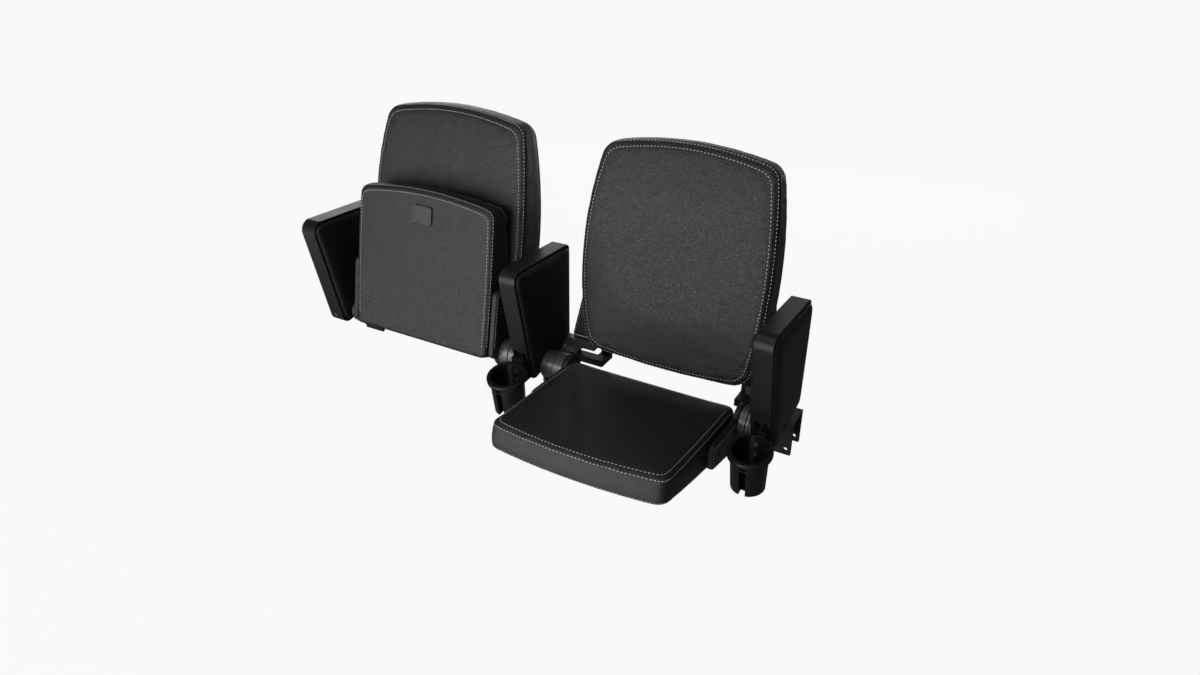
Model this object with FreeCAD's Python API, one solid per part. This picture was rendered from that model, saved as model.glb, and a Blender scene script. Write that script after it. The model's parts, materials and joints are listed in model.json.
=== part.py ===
import FreeCAD, Part
import math
import os

# Two tip-up stadium chairs between three padded arm standards, in millimetres.
# +X runs along the row to the viewer's right, -Y is the front and +Z is up.
# The origin is the centre of the middle saddle's face, where it rests on the beam.

V = FreeCAD.Vector
X_AXIS = V(1, 0, 0)
STRAIGHT = 1e-4  # three points bent less than this are joined by a line
EDGE_STEPS = 4  # facets across a rolled edge
CROWN_STEPS = 3  # facets from a rolled edge to a cushion's level middle

# Row layout
CHAIR_PITCH = 610.0  # 24 inch chair module
ARM_PITCH = 585.0  # the end arms stand a little inside the module's ends

# Clearances
FIT = 0.3  # hard seats and slots
SOFT_GAP = 0.3  # upholstered pieces and what holds them
PRESS = 0.02  # radial, pins and bushes that don't turn
RUNNING = 0.05  # radial, the turning hinge
TURN_GAP = 0.5  # between the faces that turn past each other

# Beam saddle
BEAM_SIZE = 50.8  # 2 inch square tube
BEAM_CLEARANCE = 0.35
SADDLE_LENGTH = 60.0
SADDLE_PLATE = 8.0
SADDLE_DROP = 76.0
CLAMP_HOLE_RADIUS = 5.5  # M10
CLAMP_HOLE_SPACING = 36.0
CLAMP_HOLE_BELOW = 12.0  # hole centres below the beam's underside

# Arm, as a slanted four-sided outline seen from the side
ARM_FRONT = 216.75
ARM_REAR = 22.0
ARM_HEIGHT = 304.0
ARM_TOP_FALL = 15.0
ARM_FRONT_RAKE = 60.0
ARM_REAR_RAKE = 6.0
ARM_FRONT_BASE = 2.0
ARM_REAR_BASE = 36.0
ARM_NOSE_RADIUS = 26.0
ARM_TAIL_RADIUS = 14.0
ARM_HEEL_RADIUS = 20.0
ARM_TOE_RADIUS = 24.0
RIM_WIDTH = 42.0
RIM_WALL = 5.0
RIM_EDGE = 2.0
PLATE_THICKNESS = 8.0
FOOT_LENGTH = 33.75
FOOT_TOP = 60.0
PAD_GAP = 1.2  # dark line between pad and rim
PAD_PROUD = 9.0
PAD_EDGE = 6.0
PAD_CROWN = 2.0
PAD_CROWN_REACH = 30.0
PAD_LEAST_RADIUS = 8.0

# Seat hinge
HINGE_Y = -103.0
HINGE_Z = 30.0
TIP_UP = 90.0  # degrees from down to up
SHAFT_RADIUS = 10.0
SHAFT_BOSS_RADIUS = 16.0
BUSH_WALL = 4.0
HUB_RADIUS = 36.0
HUB_STEP = 1.5  # each ring of the collar is this much smaller than the last
HUB_RINGS = 3
HUB_GROOVE = 2.0
HUB_GROOVE_DEPTH = 4.0
TURN_RING = 7.7
STOP_RADIUS = 24.0  # stop pin's distance from the hinge axis
STOP_PIN_RADIUS = 5.0
STOP_SLOT_DEPTH = 12.0
STOP_PIN_SHORT = 2.0  # from the pin's end to the slot's floor
STOP_DOWN_ANGLE = 225.0  # pin's place on a lowered seat, from +Y towards +Z

# Seat, measured forward from the hinge axis and up from it
SEAT_LENGTH = 342.0
SEAT_FRONT_OFF_ARM = 50.5  # the seat's sides to the face of the nearer arm
SEAT_MIDDLE_OFF_ARM = 46.5
SEAT_REAR_OFF_ARM = 48.0
SEAT_REAR_ABOVE = 33.0
SEAT_TOP_RISE = 32.0
SEAT_REAR_BELOW = 70.0
SEAT_BOTTOM_RISE = 74.0
SEAT_FRONT_LEAN = 9.5
SEAT_FRONT_BOW = 18.0
SEAT_FRONT_RADIUS = 20.0
SEAT_REAR_RADIUS = 14.0
SEAT_ROLL = 12.0  # rounded rear wall
SEAT_EDGE = 9.0
SEAT_DRAW = 1.5  # side walls drawn in at their seams
SEAT_CROWN = 4.0
SEAT_CROWN_REACH = 85.0
SEAT_SPLIT = 0.45  # share of the height below the pan's top
PAN_THICKNESS = 12.0
PAN_INSET = 22.0  # the pan's sides in from the seat's
PAN_REAR = 22.0
PAN_FRONT = 322.0
TONGUE_REAR = 26.0
TONGUE_FRONT = 86.0

# Hinge plates and their covers, on the seat's sides
HINGE_PLATE = 6.0
HINGE_PLATE_STANDOFF = 1.0
HINGE_PLATE_REACH = 140.0
HINGE_PLATE_RADIUS = 30.0
HINGE_PLATE_CORNER = 12.0
HINGE_PLATE_DEPTH = 42.0
COVER_SKIN = 7.7
COVER_REACH = 166.0
COVER_TOP = 30.0
COVER_RADIUS = 38.0
COVER_EDGE = 4.0
COVER_CORNER = 16.0

# Number plate under the seat's front edge, left blank
NUMBER_PLATE_WIDTH = 55.0
NUMBER_PLATE_HEIGHT = 42.0
NUMBER_PLATE_THICKNESS = 3.0
NUMBER_PLATE_RADIUS = 7.0
NUMBER_PLATE_FROM_FRONT = 58.0

# Back, in its own leaning plane
BACK_Y = -28.0
BACK_Z = 71.0
BACK_RECLINE = 7.6
BACK_HEIGHT = 476.0
BACK_BOTTOM_OFF_ARM = 50.0  # the back's sides to the face of the nearer arm
BACK_MIDDLE_OFF_ARM = 25.5
BACK_TOP_OFF_ARM = 52.0
BACK_ARCH = 24.0
BACK_SAG = 10.0
BACK_BOTTOM_RADIUS = 32.0
BACK_TOP_RADIUS = 24.0
BACK_THICKNESS = 64.0
BACK_SHELL = 9.7
BACK_SHELL_INSET = 5.0
BACK_SHELL_EDGE = 4.0
BACK_EDGE = 10.0
BACK_REAR_EDGE = 6.0
BACK_CROWN = 3.0
BACK_CROWN_REACH = 109.0
BACK_BOW = 31.5  # how far the fullest part stands forward of the plane
BACK_FULL_UP = 169.0  # height of the fullest part
BACK_SCOOP = 6.0  # the lower edge comes forward again
BACK_SCOOP_HEIGHT = 60.0
BACK_BOARD = 12.0
BACK_BOARD_INSET = 14.0
UPRIGHT_THICKNESS = 8.0
UPRIGHT_WIDTH = 24.0
UPRIGHT_TOP = 190.0
UPRIGHT_INSET = 7.0  # outer edge in from the back's lower corner

# Carrier bars, horns and wings between the back and the arms
CARRIER_FRONT = 28.0
CARRIER_DEPTH = 24.0
CARRIER_BOTTOM = 9.0
CARRIER_HEIGHT = 17.0
HORN_DEPTH = 20.0
HORN_TOP = 66.0
HORN_TIP = 20.0
HORN_ROOT = 32.0
HORN_OFF_ARM = 4.0
HORN_UNDER_BACK = 8.0
WING_OFF_ARM = 13.0
WING_TOP = 192.0
WING_THICKNESS = 26.0
WING_DEPTH = 33.0  # wing's middle behind the back's front plane
WING_EDGE = 4.0
WING_RADIUS = 8.0

# Cup holders
CUP_Y = -229.0
CUP_Z = 56.0
CUP_TILT = 5.0
CUP_RIM_TILT = 12.5
CUP_TOP_RADIUS = 40.0
CUP_BOTTOM_RADIUS = 36.0
CUP_DEPTH = 94.0
CUP_WALL = 3.0
CUP_RIM_RADIUS = 47.0
CUP_RIM_HEIGHT = 12.0
CUP_RIM_ROUND = 3.5
CUP_SLOT = 14.0
CUP_SLOT_TOP = 15.0
CUP_TAB = 3.0
CUP_TAB_DOWN = 27.0
BRACKET_WIDTH = 30.0
BRACKET_BOTTOM = 12.0
BRACKET_TOP = 76.0
WINDOW_TOP = 88.0
CUP_SCREWS_DOWN = (14.0, 38.0)

# Screws
SCREW_RADIUS = 2.5
SCREW_HEAD_RADIUS = 4.5
SCREW_HEAD = 2.5
RIM_SCREW_LENGTH = 16.0
RIM_SCREW_UP = 31.0
RIM_SCREW_REAR_UP = 160.0
CUP_SCREW_LENGTH = 15.0
SHELL_SCREW_LENGTH = 16.0
SHELL_SCREWS_UP = (60.0, 150.0)

# Worked out from the sizes above
RIM_HALF = RIM_WIDTH / 2
PLATE_HALF = PLATE_THICKNESS / 2
ARM_HALF = RIM_HALF + PAD_PROUD
NEAR_ARM = min(CHAIR_PITCH / 2, ARM_PITCH - CHAIR_PITCH / 2) - ARM_HALF  # from a chair's middle
SEAT_FRONT_HALF = NEAR_ARM - SEAT_FRONT_OFF_ARM
SEAT_MIDDLE_HALF = NEAR_ARM - SEAT_MIDDLE_OFF_ARM
SEAT_REAR_HALF = NEAR_ARM - SEAT_REAR_OFF_ARM
PAN_HALF = SEAT_REAR_HALF - PAN_INSET
BACK_BOTTOM_HALF = NEAR_ARM - BACK_BOTTOM_OFF_ARM
BACK_MIDDLE_HALF = NEAR_ARM - BACK_MIDDLE_OFF_ARM
BACK_TOP_HALF = NEAR_ARM - BACK_TOP_OFF_ARM
UPRIGHT_EDGE = BACK_BOTTOM_HALF - UPRIGHT_INSET
BUSH_RADIUS = SHAFT_RADIUS + RUNNING + BUSH_WALL
PLATE_IN = max(SEAT_REAR_HALF, SEAT_MIDDLE_HALF) + HINGE_PLATE_STANDOFF
PLATE_OUT = PLATE_IN + HINGE_PLATE
COVER_OUT = PLATE_OUT + FIT + COVER_SKIN
RING_IN = COVER_OUT + FIT
RING_OUT = RING_IN + TURN_RING
COLLAR_IN = RING_OUT + TURN_GAP
CUSHION_REAR = BACK_SHELL - BACK_THICKNESS + SOFT_GAP
UPRIGHT_FRONT = CUSHION_REAR + FIT + UPRIGHT_THICKNESS
BOARD_FRONT = UPRIGHT_FRONT + BACK_BOARD
LEAN_SIN = math.sin(math.radians(BACK_RECLINE))
LEAN_COS = math.cos(math.radians(BACK_RECLINE))
BACK_NORMAL = V(0, -LEAN_COS, LEAN_SIN)
BACK_UP = V(0, LEAN_SIN, LEAN_COS)
BRACKET_REAR = ARM_FRONT_RAKE - ARM_FRONT + RIM_WALL
CORNER_PULL = math.sqrt(2) - 1  # how far a quarter arc's middle lies towards its corner

CHAIRS = {"left": -1, "right": 1}
ARMS = {"left": -1, "middle": 0, "right": 1}
CUP_ARMS = ("middle", "right")


# Plain shapes

def box(x0, x1, y0, y1, z0, z1):
    return Part.makeBox(x1 - x0, y1 - y0, z1 - z0, V(x0, y0, z0))


def hinge_cylinder(radius, x0, x1):
    """Cylinder on the hinge axis between two places along the row."""
    return Part.makeCylinder(radius, abs(x1 - x0), V(min(x0, x1), HINGE_Y, HINGE_Z), X_AXIS)


def arc(start, middle, end):
    """Arc through three points, or a line where they lie straight."""
    bend = (middle - start).cross(end - middle).Length
    if bend < STRAIGHT:
        return Part.makeLine(start, end)
    return Part.Arc(start, middle, end).toShape()


def inset_corners(corners, inset):
    """Corners of the outline whose sides lie further in by the inset."""
    count = len(corners)
    pairs = [(corners[i - 1], corners[i]) for i in range(count)]
    area = sum(a[0] * b[1] - b[0] * a[1] for a, b in pairs)
    turn = inset * math.copysign(1.0, area)
    moved = []
    for a, b in pairs:
        length = math.dist(a, b)
        ahead = ((b[0] - a[0]) / length, (b[1] - a[1]) / length)
        moved.append(((a[0] - ahead[1] * turn, a[1] + ahead[0] * turn), ahead))
    result = []
    for i in range(count):
        p, d = moved[i]
        q, e = moved[(i + 1) % count]
        cross = d[0] * e[1] - d[1] * e[0]
        along = ((q[0] - p[0]) * e[1] - (q[1] - p[1]) * e[0]) / cross
        result.append((p[0] + d[0] * along, p[1] + d[1] * along))
    return result


def rounded_wire(corners, radii, place):
    """Closed outline with a true arc at each corner, put in space by place()."""
    arcs = []
    count = len(corners)
    for i in range(count):
        corner = V(*corners[i], 0)
        back = (V(*corners[i - 1], 0) - corner).normalize()
        ahead = (V(*corners[(i + 1) % count], 0) - corner).normalize()
        half_angle = back.getAngle(ahead) / 2
        reach = radii[i] / math.tan(half_angle)
        depth = radii[i] / math.sin(half_angle) - radii[i]
        inward = (back + ahead).normalize()
        points = (corner + back * reach, corner + inward * depth, corner + ahead * reach)
        arcs.append([place(point) for point in points])
    edges = []
    for i in range(count):
        edges.append(Part.makeLine(arcs[i - 1][2], arcs[i][0]))
        edges.append(arc(*arcs[i]))
    return Part.Wire(edges)


def side_slab(corners, radius, x0, x1):
    """Slab with a rounded outline of (y, z) corners, between two places along the row."""
    wire = rounded_wire(corners, [radius] * len(corners), lambda p: V(x0, p.x, p.y))
    return Part.Face(wire).extrude(V(x1 - x0, 0, 0))


def screw(point, inward, length):
    """Round-headed screw whose head seats at the point."""
    head = Part.makeCylinder(SCREW_HEAD_RADIUS, SCREW_HEAD, point, inward * -1)
    return head.fuse(Part.makeCylinder(SCREW_RADIUS, length, point, inward))


def screw_hole(point, inward, length):
    start = point - inward * SCREW_HEAD
    return Part.makeCylinder(SCREW_RADIUS + PRESS, length + SCREW_HEAD + FIT, start, inward)


def soft_outline(form, inset):
    """Eight arcs, as point triples, of a cushion's outline with bowed sides and round corners."""
    low = form["low"] + inset
    high = form["high"] - inset
    middle = (low + high) / 2
    low_half = form["low_half"] - inset
    mid_half = form["mid_half"] - inset
    high_half = form["high_half"] - inset
    low_radius = form["low_radius"]
    high_radius = form["high_radius"]

    def half(v):
        t = (v - low) / (high - low)
        ends = low_half * (1 - t) * (1 - 2 * t) + high_half * t * (2 * t - 1)
        return ends + mid_half * 4 * t * (1 - t)

    def top(x):
        return high + form["high_bow"] * (1 - (x / high_half) ** 2)

    def bottom(x):
        return low - form["low_bow"] * (1 - (x / low_half) ** 2)

    def corner(a, b, sharp):
        chord = ((a[0] + b[0]) / 2, (a[1] + b[1]) / 2)
        return tuple(CORNER_PULL * s + (1 - CORNER_PULL) * c for s, c in zip(sharp, chord))

    side_low = (half(low + low_radius), low + low_radius)
    side_mid = (half(middle), middle)
    side_high = (half(high - high_radius), high - high_radius)
    top_end = (high_half - high_radius, top(high_half - high_radius))
    low_end = (low_half - low_radius, bottom(low_half - low_radius))
    high_corner = corner(side_high, top_end, (high_half, high))
    low_corner = corner(side_low, low_end, (low_half, low))

    def other(p):
        return (-p[0], p[1])

    return [
        (side_low, side_mid, side_high),
        (side_high, high_corner, top_end),
        (top_end, (0, top(0)), other(top_end)),
        (other(top_end), other(high_corner), other(side_high)),
        (other(side_high), other(side_mid), other(side_low)),
        (other(side_low), other(low_corner), other(low_end)),
        (other(low_end), (0, bottom(0)), low_end),
        (low_end, low_corner, side_low),
    ]


def soft_wire(outline, place):
    return Part.Wire([arc(*[place(*point) for point in points]) for points in outline])


def rolled_edge(radius):
    """Insets and rises of a quarter-round edge, from the side wall to the face."""
    angles = [math.pi / 2 * i / EDGE_STEPS for i in range(EDGE_STEPS + 1)]
    return [(radius * (1 - math.cos(angle)), radius * math.sin(angle)) for angle in angles]


def crowned_face(radius, reach, crown):
    """Insets and rises of a rolled edge that runs on into a soft crown with a level middle."""
    shares = [(i + 1) / CROWN_STEPS for i in range(CROWN_STEPS)]
    rises = [radius + crown * (1 - (1 - share) ** 2) for share in shares]
    return rolled_edge(radius) + [(radius + reach * share, rise) for share, rise in zip(shares, rises)]


def soft_solid(wires):
    return Part.makeLoft(wires, True, True)


# Arms

ARM_CORNERS = [
    (-ARM_FRONT, ARM_HEIGHT),
    (ARM_REAR, ARM_HEIGHT - ARM_TOP_FALL),
    (ARM_REAR - ARM_REAR_RAKE, ARM_REAR_BASE),
    (ARM_FRONT_RAKE - ARM_FRONT, ARM_FRONT_BASE),
]
ARM_RADII = (ARM_NOSE_RADIUS, ARM_TAIL_RADIUS, ARM_HEEL_RADIUS, ARM_TOE_RADIUS)
FRONT_SLOPE = ARM_FRONT_RAKE / (ARM_HEIGHT - ARM_FRONT_BASE)
REAR_SLOPE = ARM_REAR_RAKE / (ARM_HEIGHT - ARM_TOP_FALL - ARM_REAR_BASE)


def arm_wire(x, inset):
    radii = [max(radius - inset, PAD_LEAST_RADIUS) for radius in ARM_RADII]
    return rounded_wire(inset_corners(ARM_CORNERS, inset), radii, lambda p: V(x, p.x, p.y))


def arm_block(x0, x1, inset):
    return Part.Face(arm_wire(x0, inset)).extrude(V(x1 - x0, 0, 0))


def foot(arm_x, clearance):
    """Lower end of the standard, which stands on the saddle behind the arm's underside."""
    half = PLATE_HALF + clearance
    return box(arm_x - half, arm_x + half, -FOOT_LENGTH - clearance, clearance, SADDLE_PLATE, FOOT_TOP)


def rim_screws(arm_x, has_cup):
    """Places and directions of the screws that hold the rim to the standard's edges."""
    rear_y = ARM_REAR - REAR_SLOPE * (ARM_HEIGHT - ARM_TOP_FALL - RIM_SCREW_REAR_UP)
    rear = (V(arm_x, rear_y, RIM_SCREW_REAR_UP), V(0, -1, REAR_SLOPE).normalize())
    if has_cup:
        return [rear]
    front_y = FRONT_SLOPE * (ARM_HEIGHT - RIM_SCREW_UP) - ARM_FRONT
    front = (V(arm_x, front_y, RIM_SCREW_UP), V(0, 1, FRONT_SLOPE).normalize())
    return [rear, front]


def arm_standard(arm_x, has_cup):
    plate = arm_block(arm_x - PLATE_HALF, arm_x + PLATE_HALF, RIM_WALL + FIT)
    boss = hinge_cylinder(SHAFT_BOSS_RADIUS, arm_x - PLATE_HALF, arm_x + PLATE_HALF)
    body = plate.fuse([boss, foot(arm_x, 0)]).removeSplitter()
    body = body.cut(hinge_cylinder(SHAFT_RADIUS + PRESS, arm_x - PLATE_HALF, arm_x + PLATE_HALF))
    for point, inward in rim_screws(arm_x, has_cup):
        body = body.cut(screw_hole(point, inward, RIM_SCREW_LENGTH))
    return body


def arm_rim(arm_x, has_cup):
    outer = arm_block(arm_x - RIM_HALF, arm_x + RIM_HALF, 0)
    edges = [e for e in outer.Edges if abs(e.Vertexes[0].X - e.Vertexes[-1].X) < STRAIGHT]
    rim = outer.makeFillet(RIM_EDGE, edges)
    rim = rim.cut(arm_block(arm_x - RIM_HALF, arm_x + RIM_HALF, RIM_WALL))
    rim = rim.cut(foot(arm_x, FIT))
    half = SHAFT_BOSS_RADIUS + FIT
    low = HINGE_Z - 2 * SHAFT_BOSS_RADIUS
    rim = rim.cut(box(arm_x - RIM_HALF, arm_x + RIM_HALF, HINGE_Y - half, HINGE_Y + half, low, HINGE_Z))
    if has_cup:
        wide = BRACKET_WIDTH / 2 + FIT
        low = BRACKET_BOTTOM - FIT
        rear = BRACKET_REAR + FIT
        rim = rim.cut(box(arm_x - wide, arm_x + wide, -ARM_FRONT, rear, low, WINDOW_TOP))
    for point, inward in rim_screws(arm_x, has_cup):
        rim = rim.cut(screw_hole(point, inward, RIM_SCREW_LENGTH))
    return rim


def arm_pad(arm_x, side):
    """Padded panel with a crowned face and rolled edges, seated on the standard's plate."""
    inset = RIM_WALL + PAD_GAP
    seat = PLATE_HALF + SOFT_GAP
    wall = ARM_HALF - PAD_EDGE - PAD_CROWN
    wires = [arm_wire(arm_x + side * seat, inset)]
    for further, rise in crowned_face(PAD_EDGE, PAD_CROWN_REACH, PAD_CROWN):
        wires.append(arm_wire(arm_x + side * (wall + rise), inset + further))
    reach = arm_x + side * (ARM_HALF + PAD_PROUD)
    return soft_solid(wires).cut(hinge_cylinder(SHAFT_BOSS_RADIUS + SOFT_GAP, arm_x, reach))


def beam_saddle(arm_x):
    half = SADDLE_LENGTH / 2
    inner = BEAM_SIZE / 2 + BEAM_CLEARANCE
    outer = inner + SADDLE_PLATE
    block = box(arm_x - half, arm_x + half, -outer, outer, -SADDLE_DROP, SADDLE_PLATE)
    block = block.cut(box(arm_x - half, arm_x + half, -inner, inner, -SADDLE_DROP, 0))
    for side in (-1, 1):
        place = V(arm_x + side * CLAMP_HOLE_SPACING / 2, -outer, -BEAM_SIZE - CLAMP_HOLE_BELOW)
        block = block.cut(Part.makeCylinder(CLAMP_HOLE_RADIUS, 2 * outer, place, V(0, 1, 0)))
    return block


# Hinges

def hinge_point(radius, degrees, x):
    angle = math.radians(degrees)
    return V(x, HINGE_Y + radius * math.cos(angle), HINGE_Z + radius * math.sin(angle))


def stop_slot(x0, x1):
    """Arc slot that the stop pin travels in, clear of the pin by the fit all round."""
    inner = STOP_RADIUS - STOP_PIN_RADIUS - FIT
    outer = STOP_RADIUS + STOP_PIN_RADIUS + FIT
    angles = (STOP_DOWN_ANGLE - TIP_UP, STOP_DOWN_ANGLE - TIP_UP / 2, STOP_DOWN_ANGLE)
    far = [hinge_point(outer, angle, x0) for angle in angles]
    near = [hinge_point(inner, angle, x0) for angle in angles]
    edges = [arc(*far), Part.makeLine(far[2], near[2])]
    edges += [arc(*reversed(near)), Part.makeLine(near[0], far[0])]
    along = V(x1 - x0, 0, 0)
    sector = Part.Face(Part.Wire(edges)).extrude(along)
    ends = []
    for angle in (angles[0], angles[2]):
        place = hinge_point(STOP_RADIUS, angle, x0)
        ends.append(Part.makeCylinder(STOP_PIN_RADIUS + FIT, along.Length, place, along))
    return sector.fuse(ends)


def stop_pin(centre, side, radius, inner, outer):
    start = hinge_point(STOP_RADIUS, STOP_DOWN_ANGLE, centre + side * inner)
    return Part.makeCylinder(radius, outer - inner, start, V(side, 0, 0))


def hub_collar(centre, side, arm_x):
    """Fixed collar of stepped rings between the seat's hinge and the standard."""
    start = centre + side * COLLAR_IN
    face = arm_x - side * (ARM_HALF + SOFT_GAP)
    plate = arm_x - side * PLATE_HALF
    pitch = (abs(face - start) + HUB_GROOVE) / HUB_RINGS
    collar = hinge_cylinder(HUB_RADIUS - HUB_STEP * HUB_RINGS - HUB_GROOVE_DEPTH, start, face)
    collar = collar.fuse(hinge_cylinder(SHAFT_BOSS_RADIUS, start, plate))
    for index in range(HUB_RINGS):
        near = start + side * pitch * index
        far = near + side * (pitch - HUB_GROOVE)
        collar = collar.fuse(hinge_cylinder(HUB_RADIUS - HUB_STEP * index, near, far))
    collar = collar.cut(hinge_cylinder(SHAFT_RADIUS + PRESS, start, plate))
    return collar.cut(stop_slot(start, start + side * STOP_SLOT_DEPTH)).removeSplitter()


def pivot_shaft(arm):
    """Shaft through one standard, reaching the hinge of each seat beside it."""
    ends = []
    for sign in CHAIRS.values():
        centre = sign * CHAIR_PITCH / 2
        for side in (-1, 1):
            if arm_of(sign, side) == arm:
                ends.append(centre + side * (PLATE_IN + FIT))
    far = ARMS[arm] * (ARM_PITCH + PLATE_HALF)
    span = ends + [far] if ARMS[arm] else ends
    return hinge_cylinder(SHAFT_RADIUS, min(span), max(span))


def arm_of(chair, side):
    """Name of the arm on one side of a chair."""
    if side == chair:
        return "right" if chair > 0 else "left"
    return "middle"


def plate_outline():
    """Corners (y, z) of a hinge plate on a lowered seat."""
    low = -HINGE_PLATE_DEPTH
    rise = SEAT_BOTTOM_RISE / SEAT_LENGTH * HINGE_PLATE_REACH
    rear = HINGE_Y
    front = HINGE_Y - HINGE_PLATE_REACH
    return [
        (rear, HINGE_Z + HINGE_PLATE_RADIUS / 2),
        (front, HINGE_Z + COVER_TOP - HINGE_PLATE_RADIUS / 2),
        (front, HINGE_Z + low + rise),
        (rear, HINGE_Z + low),
    ]


def cover_outline():
    """Corners (y, z) of a hinge cover, whose lower edge follows the seat's underside."""
    rise = SEAT_BOTTOM_RISE / SEAT_LENGTH
    low = COVER_SKIN - SEAT_REAR_BELOW
    rear = HINGE_Y
    front = HINGE_Y - COVER_REACH
    return [
        (rear, HINGE_Z + COVER_RADIUS / 2),
        (front, HINGE_Z + COVER_TOP),
        (front, HINGE_Z + low + rise * COVER_REACH),
        (rear, HINGE_Z + low),
    ]


def hinge_blank(centre, side, clearance, outer):
    inner = centre + side * (PLATE_IN - clearance)
    corners = inset_corners(plate_outline(), -clearance)
    slab = side_slab(corners, HINGE_PLATE_CORNER, inner, centre + side * outer)
    return slab.fuse(hinge_cylinder(HINGE_PLATE_RADIUS + clearance, inner, centre + side * outer))


def hinge_plate(centre, side):
    blank = hinge_blank(centre, side, 0, PLATE_OUT).removeSplitter()
    blank = blank.cut(hinge_cylinder(BUSH_RADIUS + PRESS, centre, centre + side * RING_OUT))
    return blank.cut(stop_pin(centre, side, STOP_PIN_RADIUS + PRESS, PLATE_IN, PLATE_OUT))


def hinge_cover(centre, side):
    """Upholstered cover over the hinge plate, flared round the hub."""
    inner = centre + side * PLATE_IN
    outer = centre + side * COVER_OUT
    slab = side_slab(cover_outline(), COVER_CORNER, inner, outer)
    body = slab.fuse(hinge_cylinder(COVER_RADIUS, inner, outer)).removeSplitter()
    edges = [e for e in body.Edges if all(abs(v.X - outer) < STRAIGHT for v in e.Vertexes)]
    body = body.makeFillet(COVER_EDGE, edges)
    body = body.cut(hinge_blank(centre, side, FIT, PLATE_OUT + FIT))
    body = body.cut(hinge_cylinder(BUSH_RADIUS + FIT, centre, centre + side * RING_OUT))
    return body.cut(stop_pin(centre, side, STOP_PIN_RADIUS + FIT, PLATE_IN, COVER_OUT))


def hinge_bush(centre, side):
    inner = centre + side * (PLATE_IN + FIT)
    outer = centre + side * RING_OUT
    bore = hinge_cylinder(SHAFT_RADIUS + RUNNING, inner, outer)
    return hinge_cylinder(BUSH_RADIUS, inner, outer).cut(bore)


def turn_ring(centre, side):
    """Ring that turns with the seat against the fixed collar."""
    inner = centre + side * RING_IN
    outer = centre + side * RING_OUT
    ring = hinge_cylinder(HUB_RADIUS, inner, outer)
    ring = ring.cut(hinge_cylinder(BUSH_RADIUS + PRESS, inner, outer))
    return ring.cut(stop_pin(centre, side, STOP_PIN_RADIUS + FIT, RING_IN, RING_OUT))


# Seat

def seat_form(share):
    """Plan of the seat at a share of its height, measured forward from the hinge axis."""
    return {
        "low": -SEAT_ROLL * 4 * share * (1 - share),
        "high": SEAT_LENGTH,
        "low_half": SEAT_REAR_HALF,
        "mid_half": SEAT_MIDDLE_HALF,
        "high_half": SEAT_FRONT_HALF,
        "low_bow": 0.0,
        "high_bow": SEAT_FRONT_BOW,
        "low_radius": SEAT_REAR_RADIUS,
        "high_radius": SEAT_FRONT_RADIUS,
    }


def seat_bottom(ahead):
    return SEAT_BOTTOM_RISE * ahead / SEAT_LENGTH - SEAT_REAR_BELOW


def seat_top(ahead):
    return SEAT_TOP_RISE * ahead / SEAT_LENGTH + SEAT_REAR_ABOVE


def seat_wire(centre, share, inset, lift=0.0):
    """Outline of the seat at a share of its height between the underside and the top."""
    def place(x, ahead):
        forward = ahead * (1 + SEAT_FRONT_LEAN / SEAT_LENGTH * (1 - share))
        up = seat_bottom(ahead) * (1 - share) + seat_top(ahead) * share + lift
        return V(centre + x, HINGE_Y - forward, HINGE_Z + up)
    return soft_wire(soft_outline(seat_form(share), inset), place)


def sloped_box(centre, rear, front, half, top, thickness, slope):
    """Box under a plane that rises towards the front from a height on the hinge axis."""
    angle = math.atan(slope)
    block = box(-half, half, -front / math.cos(angle), -rear / math.cos(angle), -thickness, 0)
    block.rotate(V(0, 0, 0), X_AXIS, -math.degrees(angle))
    block.translate(V(centre, HINGE_Y, HINGE_Z + top))
    return block


def pan_block(centre, clearance):
    """Board of the seat pan with its two side tongues, grown by a clearance."""
    top = seat_bottom(0) * (1 - SEAT_SPLIT) + seat_top(0) * SEAT_SPLIT
    length = SEAT_LENGTH + SEAT_FRONT_LEAN * (1 - SEAT_SPLIT)
    slope = (SEAT_BOTTOM_RISE * (1 - SEAT_SPLIT) + SEAT_TOP_RISE * SEAT_SPLIT) / length
    deep = PAN_THICKNESS + clearance
    rear = PAN_REAR - clearance
    front = PAN_FRONT + clearance
    board = sloped_box(centre, rear, front, PAN_HALF + clearance, top, deep, slope)
    rear = TONGUE_REAR - clearance
    front = TONGUE_FRONT + clearance
    tongue = sloped_box(centre, rear, front, PLATE_IN, top, deep, slope)
    return board.fuse(tongue).removeSplitter()


def seat_pan(centre):
    return pan_block(centre, 0)


def seat_base(centre):
    """Upholstered lower half of the seat, flat underneath, with a pocket for the pan."""
    wires = []
    for inset, rise in reversed(rolled_edge(SEAT_EDGE)):
        wires.append(seat_wire(centre, 0.0, SEAT_DRAW + inset, SEAT_EDGE - rise))
    wires.append(seat_wire(centre, SEAT_SPLIT, 0.0))
    return soft_solid(wires).cut(pan_block(centre, SOFT_GAP))


def seat_cushion(centre):
    """Foam top of the seat with a soft crown and sides drawn in at the seam."""
    wires = [seat_wire(centre, SEAT_SPLIT, 0.0, SOFT_GAP)]
    for inset, rise in crowned_face(SEAT_EDGE, SEAT_CROWN_REACH, SEAT_CROWN):
        wires.append(seat_wire(centre, 1.0, SEAT_DRAW + inset, rise - SEAT_EDGE))
    return soft_solid(wires)


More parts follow.
